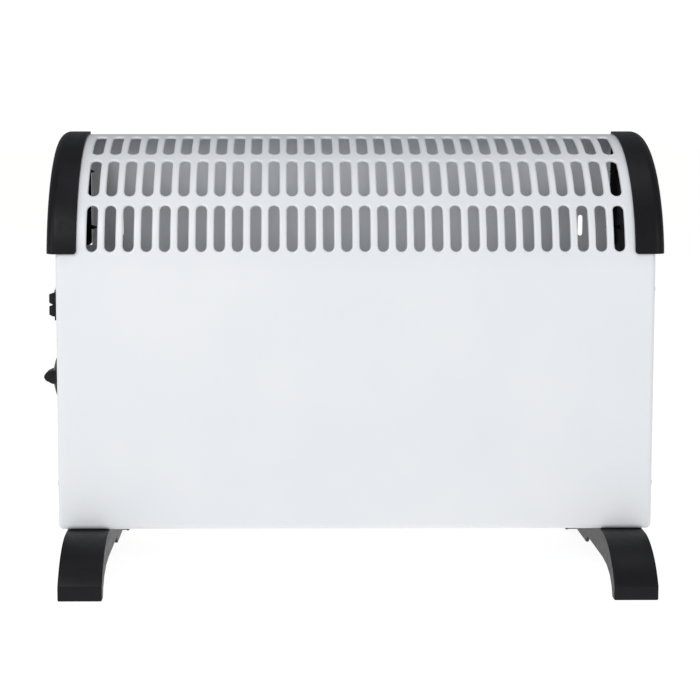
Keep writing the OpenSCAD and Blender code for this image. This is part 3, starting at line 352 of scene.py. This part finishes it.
def stations(panel):
    """Where the panel's quads begin and end: across it, and along it from its foot to its top."""
    flat = panel.half - EDGE_R
    grille = COLUMNS * SLOT_PITCH / 2
    cell = SLOT_PITCH / CELL_ACROSS
    right = [(grille + (flat - grille) * k / SIDE_STEPS, 0, 0) for k in range(1, SIDE_STEPS + 1)]
    right += [(flat, k / BEND_STEPS, 0) for k in range(1, BEND_STEPS + 1)]
    right += [(flat, 1, (RETURN_D - EDGE_R) * k / 2) for k in (1, 2)]
    middle = [(-grille + cell * k, 0, 0) for k in range(COLUMNS * CELL_ACROSS + 1)]
    across = [(-x, a, t) for x, a, t in reversed(right)] + middle + right

    along = [("return", panel.low, (RETURN_D - EDGE_R) * k / 2) for k in (2, 1)]
    along += [("bend", panel.low, k / BEND_STEPS) for k in range(BEND_STEPS, 0, -1)]
    foot = panel.low + EDGE_R
    along += [
        ("flat", foot + (panel.arc_z - foot) * k / FRONT_STEPS, 0) for k in range(FRONT_STEPS)
    ]
    start = FIRST_ROW - ROW_GAP / 2
    end = start + ROWS * (SLOT_L + ROW_GAP)
    step = (SLOT_L + ROW_GAP) / CELL_ALONG
    along += [("arc", start * k / PLAIN_STEPS, 0) for k in range(PLAIN_STEPS)]
    along += [("arc", start + step * k, 0) for k in range(ROWS * CELL_ALONG + 1)]
    notch = panel.arc_length - NOTCH_D
    along += [("arc", s, 0) for s in ((end + notch) / 2, notch, panel.arc_length)]
    return across, along, start, end


def slot_ring(width, length):
    """A slot's outline about its centre, from the middle of its right side and up."""
    r = width / 2
    straight = length / 2 - r
    ends = [math.pi * k / END_STEPS for k in range(END_STEPS)]
    ring = [(r, straight * k / SIDE_STEPS) for k in range(SIDE_STEPS)]
    ring += [(r * math.cos(turn), straight + r * math.sin(turn)) for turn in ends]
    ring += [(-r, straight * (1 - k / SIDE_STEPS)) for k in range(2 * SIDE_STEPS)]
    ring += [(-r * math.cos(turn), -straight - r * math.sin(turn)) for turn in ends]
    ring += [(r, -straight * (1 - k / SIDE_STEPS)) for k in range(SIDE_STEPS)]
    return ring


def cell_ring():
    """The outline of one cell of the grille in the same order as a slot's."""
    x, s = SLOT_PITCH / 2, (SLOT_L + ROW_GAP) / 2
    up = CELL_ALONG // 2
    ring = [(x, s * k / up) for k in range(up)]
    ring += [(x - SLOT_PITCH * k / CELL_ACROSS, s) for k in range(CELL_ACROSS)]
    ring += [(-x, s - s * k / up) for k in range(CELL_ALONG)]
    ring += [(-x + SLOT_PITCH * k / CELL_ACROSS, -s) for k in range(CELL_ACROSS)]
    ring += [(x, -s + s * k / up) for k in range(up)]
    return ring


def lip_rings():
    """The rings of one cell, each with its depth: plain sheet, rolled edge, lip."""
    margin = 2.3 * LIP_R        # a narrow flat ring keeps the bend from shading the plain sheet
    rings = [(cell_ring(), 0.0), (slot_ring(SLOT_W + margin, SLOT_L + margin), 0.0)]
    for k in range(LIP_STEPS + 1):
        turn = math.pi / 2 * k / LIP_STEPS
        out = 2 * LIP_R * (1 - math.sin(turn))
        rings.append((slot_ring(SLOT_W + out, SLOT_L + out), LIP_R * (1 - math.cos(turn))))
    rings.append((slot_ring(SLOT_W, SLOT_L), LIP_D))
    return rings


def add_cells(panel, bm, start):
    """The grille: one ringed hole for each slot."""
    rings = lip_rings()
    for row in range(ROWS):
        s = start + (SLOT_L + ROW_GAP) * (row + 0.5)
        for column in range(COLUMNS):
            x = (column - (COLUMNS - 1) / 2) * SLOT_PITCH
            last = None
            for ring, depth in rings:
                verts = [
                    bm.verts.new(panel.point((x + dx, 0, 0), ("arc", s + ds, 0), depth))
                    for dx, ds in ring
                ]
                if last:
                    for i in range(len(verts)):
                        j = (i + 1) % len(verts)
                        bm.faces.new((last[i], last[j], verts[j], verts[i]))
                last = verts


def add_plain_sheet(panel, bm, across, along, start, end):
    """Every quad of the panel but the grille's cells and the corners that its cap's wall needs."""
    grille = COLUMNS * SLOT_PITCH / 2 + 0.1 * MM
    grid = [[bm.verts.new(panel.point(c, r)) for c in across] for r in along]
    for i in range(len(along) - 1):
        for j in range(len(across) - 1):
            (kind, low, _), (_, high, _) = along[i], along[i + 1]
            x0, x1 = sorted((abs(across[j][0]), abs(across[j + 1][0])))
            on_arc = kind == "arc"
            in_grille = on_arc and low > start - TOUCH and high < end + TOUCH and x1 < grille
            at_top = on_arc and high > panel.arc_length - TOUCH
            in_notch = at_top and x0 > panel.cap_in - NOTCH_SIDE
            at_corner = kind == "return" and (across[j][1] > 0 or across[j + 1][1] > 0)
            if not (in_grille or in_notch or at_corner):
                bm.faces.new((grid[i][j], grid[i][j + 1], grid[i + 1][j + 1], grid[i + 1][j]))


def stand_in(node, bm, suffix):
    """An object made from new mesh data that stands for a CAD node and rides on its body."""
    mesh = bpy.data.meshes.new(f"{node}_{suffix}")
    bm.to_mesh(mesh)
    bm.free()
    piece = bpy.data.objects.new(f"{node}_{suffix}", mesh)
    bpy.context.scene.collection.objects.link(piece)
    mesh.materials.append(MATERIALS[SLOT_OF[node]])
    mesh.polygons.foreach_set("use_smooth", [True] * len(mesh.polygons))
    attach(piece, BODY_OF[node])
    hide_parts(node)
    return piece


def even_shading(piece):
    """Keeps large flat faces flat where they meet a small rounded edge."""
    shade = piece.modifiers.new("even_shading", "WEIGHTED_NORMAL")
    shade.keep_sharp = True
    shade.weight = 80


def make_front_panel():
    """The pressed sheet in one piece, with its rolled slots, side and bottom returns."""
    panel = PanelShape()
    across, along, start, end = stations(panel)
    bm = bmesh.new()
    add_plain_sheet(panel, bm, across, along, start, end)
    add_cells(panel, bm, start)
    bmesh.ops.remove_doubles(bm, verts=bm.verts, dist=2 * TOUCH)
    loose = [v for v in bm.verts if not v.link_faces]
    bmesh.ops.delete(bm, geom=loose, context="VERTS")
    bmesh.ops.recalc_face_normals(bm, faces=bm.faces)
    if sum(f.normal.y * f.calc_area() for f in bm.faces) > 0:
        bmesh.ops.reverse_faces(bm, faces=bm.faces)
    piece = stand_in("front_panel", bm, "pressed")
    sheet = piece.modifiers.new("sheet", "SOLIDIFY")
    sheet.thickness = SHEET_T
    sheet.offset = -1
    even_shading(piece)


# ---------------------------------------------------------------- moulded parts

FLAT_ENOUGH = math.radians(0.5)         # faces nearer than this to one plane become one face


def soften(node, width, steps=2, sharp=28):
    """Stands a copy in for a CAD node, with its edges over so many degrees sharp rounded over."""
    bm = bmesh.new()
    bm.from_mesh(frame["nodes"][node].data)
    bmesh.ops.remove_doubles(bm, verts=bm.verts, dist=3 * TOUCH)
    bmesh.ops.dissolve_limit(bm, angle_limit=FLAT_ENOUGH, verts=bm.verts, edges=bm.edges)
    surface = BVHTree.FromBMesh(bm)
    limit = math.radians(sharp)
    hard = [e for e in bm.edges if len(e.link_faces) == 2 and e.calc_face_angle(0) > limit]
    bmesh.ops.bevel(
        bm, geom=hard, offset=width, segments=steps, profile=0.5, affect="EDGES", clamp_overlap=False
    )
    for vert in bm.verts:       # a bevel can throw a corner far out where edges meet at a slant
        nearest, _, _, distance = surface.find_nearest(vert.co)
        if distance > 0.5 * width:
            vert.co = nearest
    bmesh.ops.recalc_face_normals(bm, faces=bm.faces)
    even_shading(stand_in(node, bm, "moulded"))


# Radius of each moulded part's edges, in millimetres.
SOFT_EDGES = {
    "left_end_cap": 0.7, "right_end_cap": 0.7, "left_foot": 1.1, "right_foot": 1.1,
    "control_knob": 0.5, "upper_rocker": 0.4, "lower_rocker": 0.4, "switch_housing": 0.4,
}


def dress_cad_nodes():
    """Gives every node that stays its slot's material."""
    for node, piece in frame["nodes"].items():
        piece.data.materials.clear()
        piece.data.materials.append(MATERIALS[SLOT_OF[node]])


# ---------------------------------------------------------------- studio

CAMERA_AT = (-0.0587, -1.4248, 0.3876)
CAMERA_DOWN = math.radians(5.04)
CAMERA_YAW = math.radians(0.51)
CAMERA_LENS = 83.65
CAMERA_SHIFT = (0.07, -0.114)


def make_camera():
    """Looks from a little above and left of the middle, and is shifted to frame the heater."""
    data = bpy.data.cameras.new("camera")
    data.lens = CAMERA_LENS
    data.sensor_width = 36
    data.shift_x, data.shift_y = CAMERA_SHIFT
    data.clip_start, data.clip_end = 0.01, 100
    camera = bpy.data.objects.new("camera", data)
    camera.location = CAMERA_AT
    camera.rotation_euler = (math.pi / 2 - CAMERA_DOWN, 0, -CAMERA_YAW)
    bpy.context.scene.collection.objects.link(camera)
    bpy.context.scene.camera = camera


def soft_light(name, place, target, size, power):
    """A rectangular soft box at a place, turned towards its target."""
    data = bpy.data.lights.new(name, "AREA")
    data.shape = "RECTANGLE"
    data.size, data.size_y = size
    data.energy = power
    light = bpy.data.objects.new(name, data)
    light.location = place
    light.rotation_euler = (Vector(target) - Vector(place)).to_track_quat("-Z", "Y").to_euler()
    bpy.context.scene.collection.objects.link(light)


def make_floor():
    """White paper that glows a little, so that only the contact shadows show on it."""
    mesh = bpy.data.meshes.new("studio_floor")
    reach = 30.0                # far enough for its edge to meet the white backdrop
    corners = [(-reach, -reach, 0), (reach, -reach, 0), (reach, reach, 0), (-reach, reach, 0)]
    mesh.from_pydata(corners, [], [(0, 1, 2, 3)])
    floor = bpy.data.objects.new("studio_floor", mesh)
    bpy.context.scene.collection.objects.link(floor)
    made = Finish("studio_paper", roughness=0.9, specular=0.1)
    made.set("Base Color", (0.3, 0.295, 0.285, 1))
    made.set("Emission Color", (1.0, 1.0, 0.995, 1))
    made.set("Emission Strength", 0.92)
    made.relief(made.noise(3 * MM, 2), 0.01 * MM)
    mesh.materials.append(made.material)


def make_world():
    """White where the camera looks past the heater, and a dimmer grey room for its light."""
    world = bpy.data.worlds.new("studio")
    bpy.context.scene.world = world
    world.use_nodes = True
    tree = world.node_tree
    tree.nodes.clear()
    out = tree.nodes.new("ShaderNodeOutputWorld")
    mix = tree.nodes.new("ShaderNodeMixShader")
    path = tree.nodes.new("ShaderNodeLightPath")
    room = tree.nodes.new("ShaderNodeBackground")
    room.inputs["Color"].default_value = (0.96, 0.98, 1.0, 1)
    room.inputs["Strength"].default_value = 0.25
    backdrop = tree.nodes.new("ShaderNodeBackground")
    backdrop.inputs["Color"].default_value = (1, 1, 1, 1)
    backdrop.inputs["Strength"].default_value = 1.05
    tree.links.new(path.outputs["Is Camera Ray"], mix.inputs["Fac"])
    tree.links.new(room.outputs["Background"], mix.inputs[1])
    tree.links.new(backdrop.outputs["Background"], mix.inputs[2])
    tree.links.new(mix.outputs["Shader"], out.inputs["Surface"])


def make_studio():
    make_camera()
    make_floor()
    make_world()
    aim = (0, 0, 0.2)
    soft_light("key", (-1.1, -2.3, 1.9), aim, (1.1, 0.8), 24)
    soft_light("fill", (1.9, -2.2, 1.1), aim, (1.2, 1.2), 13)
    soft_light("strip", (-1.7, -0.9, 0.7), aim, (0.3, 1.2), 5)
    soft_light("top", (0.2, -0.4, 2.2), aim, (1.5, 0.9), 7)
    bpy.context.scene.view_settings.view_transform = "Standard"


dress_cad_nodes()
make_front_panel()
for soft_node, edge in SOFT_EDGES.items():
    soften(soft_node, edge * MM)
make_studio()
